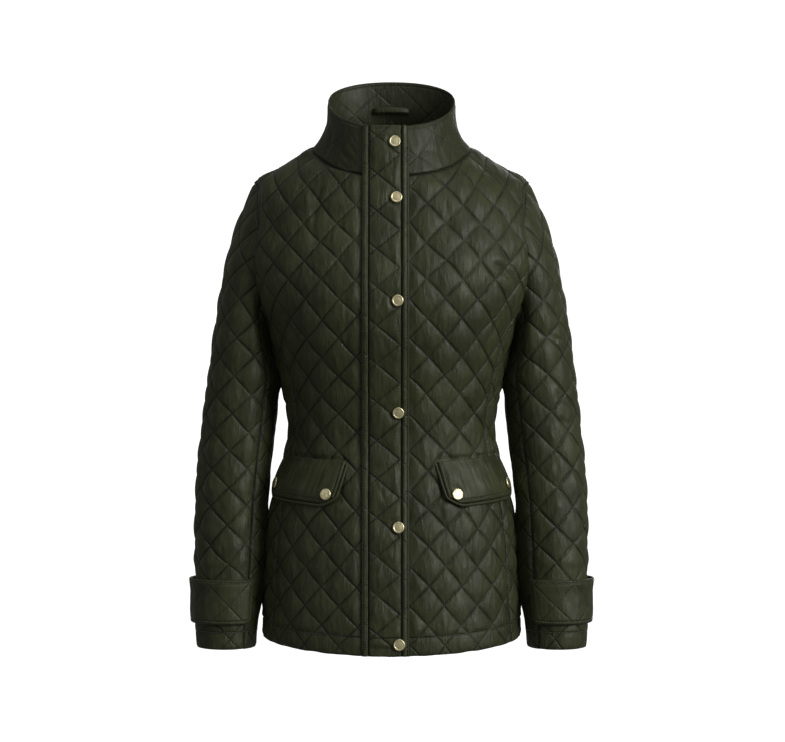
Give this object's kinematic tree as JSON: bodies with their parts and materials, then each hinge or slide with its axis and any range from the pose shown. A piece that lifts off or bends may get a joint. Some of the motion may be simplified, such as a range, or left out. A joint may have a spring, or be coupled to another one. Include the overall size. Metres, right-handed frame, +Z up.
{
  "type": "women's quilted jacket",
  "caption": "Fitted olive diamond-quilted jacket with a stand collar, snapped placket, flap pockets and cuff tabs, filled out as if worn.",
  "frame": {"origin": "midway between the two points where the neckline meets the shoulder seams, where the wearer carries the jacket", "axes": "+Z up, the front faces -Y, +X towards the wearer's left"},
  "size_m": [0.5144, 0.2596, 0.7321],
  "materials": {
    "shell": "satin quilted polyester",
    "trim": "satin polyester binding",
    "snap": "pale gold plated"
  },
  "bodies": {
    "root": {"front_left": "shell", "front_right": "shell", "side_panel_left": "shell", "side_panel_right": "shell", "back": "shell", "top_sleeve_left": "shell", "top_sleeve_right": "shell", "under_sleeve_left": "shell", "under_sleeve_right": "shell", "collar": "shell", "placket": "shell", "placket_fold_strip": "trim", "placket_edge_binding": "trim", "pocket_flap_left": "shell", "pocket_flap_right": "shell", "pocket_flap_binding_left": "trim", "pocket_flap_binding_right": "trim", "cuff_tab_left": "shell", "cuff_tab_right": "shell", "hanger_loop": "trim", "placket_snap_1": "snap", "placket_snap_2": "snap", "placket_snap_3": "snap", "placket_snap_4": "snap", "placket_snap_5": "snap", "placket_snap_6": "snap", "flap_snap_left_1": "snap", "flap_snap_left_2": "snap", "flap_snap_right_1": "snap", "flap_snap_right_2": "snap"}
  },
  "joints": []
}
